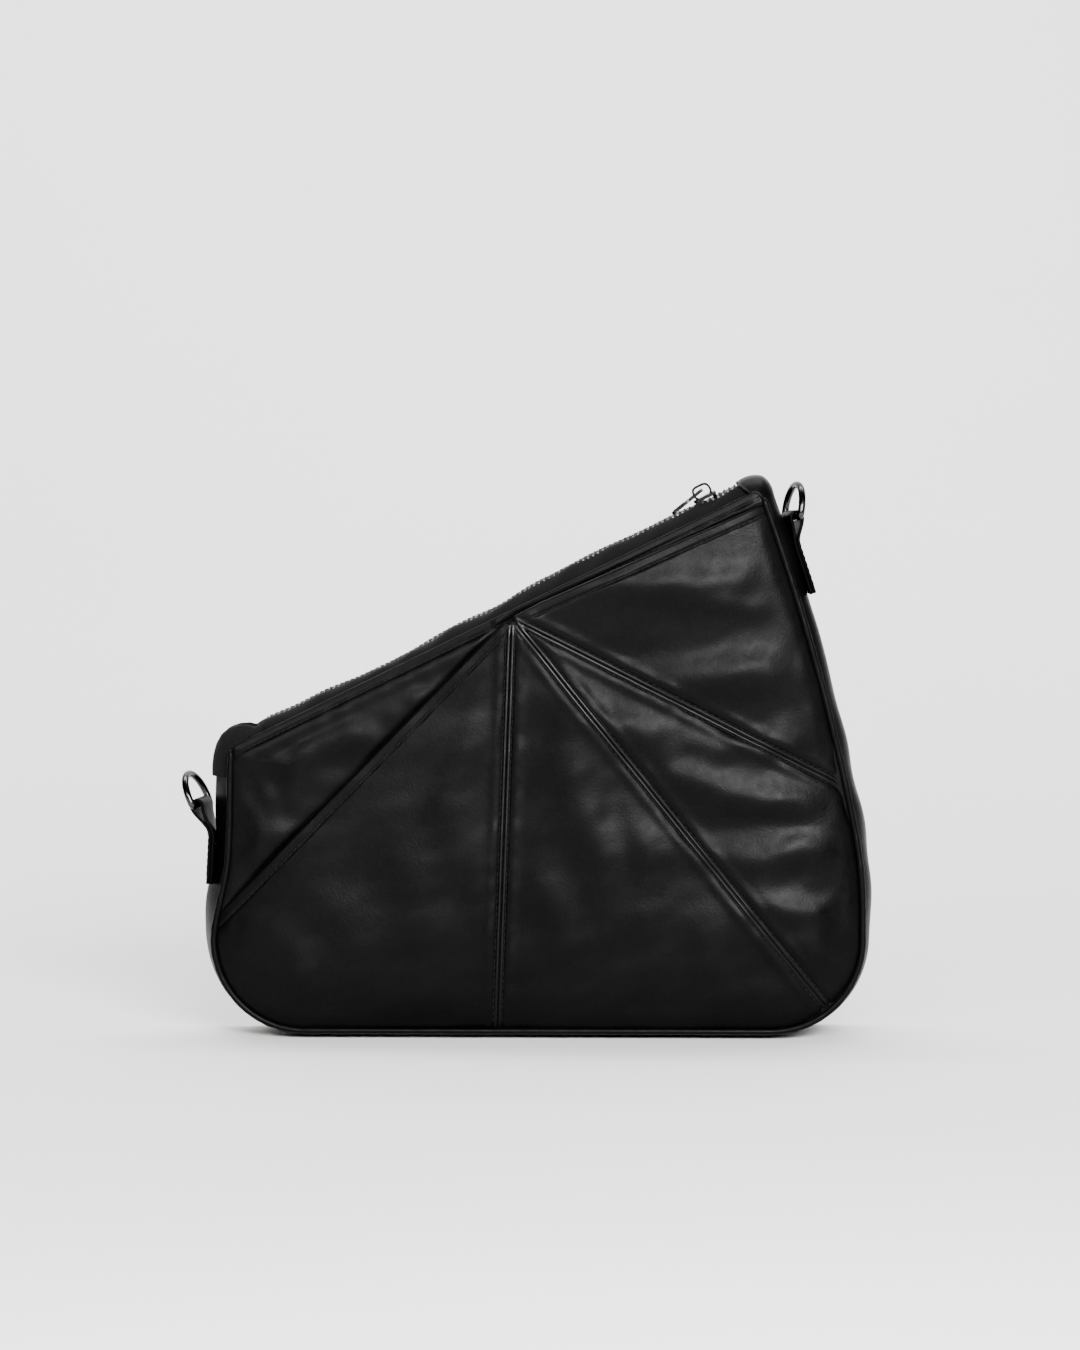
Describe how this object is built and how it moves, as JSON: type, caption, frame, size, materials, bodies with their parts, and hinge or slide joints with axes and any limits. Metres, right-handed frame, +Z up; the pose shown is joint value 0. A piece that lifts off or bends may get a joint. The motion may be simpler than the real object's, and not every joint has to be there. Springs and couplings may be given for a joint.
{
  "type": "leather shoulder bag",
  "caption": "Small asymmetric leather shoulder bag with a slanting zip, a seamed front slip pocket and a D-ring at each side for a strap.",
  "frame": {"origin": "on the base, under the middle of the bag, in the middle of its depth", "axes": "+X to the tall end, -Y is the front with the pocket, +Z up"},
  "size_m": [0.3124, 0.0576, 0.2536],
  "materials": {
    "leather_black": "smooth semi-gloss nappa",
    "piping_leather": "smooth semi-gloss nappa",
    "tab_leather": "smooth semi-gloss nappa",
    "lining_fabric": "fine twill",
    "zip_tape_fabric": "matt woven tape",
    "teeth_metal": "polished black nickel",
    "gunmetal": "polished black nickel",
    "board_grey": "pressed fibre board"
  },
  "bodies": {
    "bag": {"front_panel": "leather_black", "back_panel": "leather_black", "gusset_left": "leather_black", "gusset_bottom": "leather_black", "gusset_right": "leather_black", "overlay_left": "leather_black", "overlay_middle": "leather_black", "overlay_right": "leather_black", "overlay_top": "leather_black", "overlay_allowance": "leather_black", "piping_front": "piping_leather", "piping_back": "piping_leather", "mouth_facing_front": "leather_black", "mouth_facing_back": "leather_black", "zip_end_tab": "leather_black", "lining_front": "lining_fabric", "lining_back": "lining_fabric", "lining_gusset": "lining_fabric", "base_board": "board_grey", "zip_bottom_stop": "teeth_metal", "strap_tab_left": "tab_leather", "strap_tab_right": "tab_leather"},
    "slider": {"zip_slider": "gunmetal"},
    "pull": {"zip_pull": "gunmetal"},
    "mouth_front": {"zip_tape_front": "zip_tape_fabric", "zip_teeth_front": "teeth_metal", "zip_stop_front": "teeth_metal"},
    "mouth_back": {"zip_tape_back": "zip_tape_fabric", "zip_teeth_back": "teeth_metal", "zip_stop_back": "teeth_metal"},
    "ring_left": {"d_ring_left": "gunmetal"},
    "ring_right": {"d_ring_right": "gunmetal"}
  },
  "joints": [
    {"name": "zip_slide", "type": "slide", "parent": "bag", "child": "slider", "axis": [0.8949, 0, 0.4462], "range_m": [-0.2175, 0.0095], "deforming": ["zip_tape_front", "zip_teeth_front", "zip_stop_front", "zip_tape_back", "zip_teeth_back", "zip_stop_back"]},
    {"name": "mouth_front_turn", "type": "hinge", "parent": "bag", "child": "mouth_front", "pos_m": [-0.12343, -0.0104, 0.13384], "axis": [0.8949, 0, 0.4462], "range_deg": [-3, 52]},
    {"name": "mouth_back_turn", "type": "hinge", "parent": "bag", "child": "mouth_back", "pos_m": [-0.12343, 0.0104, 0.13384], "axis": [-0.8949, 0, -0.4462], "range_deg": [-3, 52]},
    {"name": "pull_turn", "type": "hinge", "parent": "slider", "child": "pull", "pos_m": [0.0745, 0, 0.24783], "axis": [0, 1, 0], "range_deg": [0, 165]},
    {"name": "ring_right_turn", "type": "hinge", "parent": "bag", "child": "ring_right", "pos_m": [0.11581, 0, 0.23545], "axis": [-0.2777, 0.9563, -0.0914], "range_deg": [-20, 130]},
    {"name": "ring_left_turn", "type": "hinge", "parent": "bag", "child": "ring_left", "pos_m": [-0.15284, 0, 0.10465], "axis": [-0.2919, -0.9563, 0.0158], "range_deg": [-20, 130]}
  ],
  "couplings": [
    {"joint": "mouth_front_turn", "follows": "zip_slide", "rad_per_m": -4},
    {"joint": "mouth_back_turn", "follows": "zip_slide", "rad_per_m": -4}
  ]
}
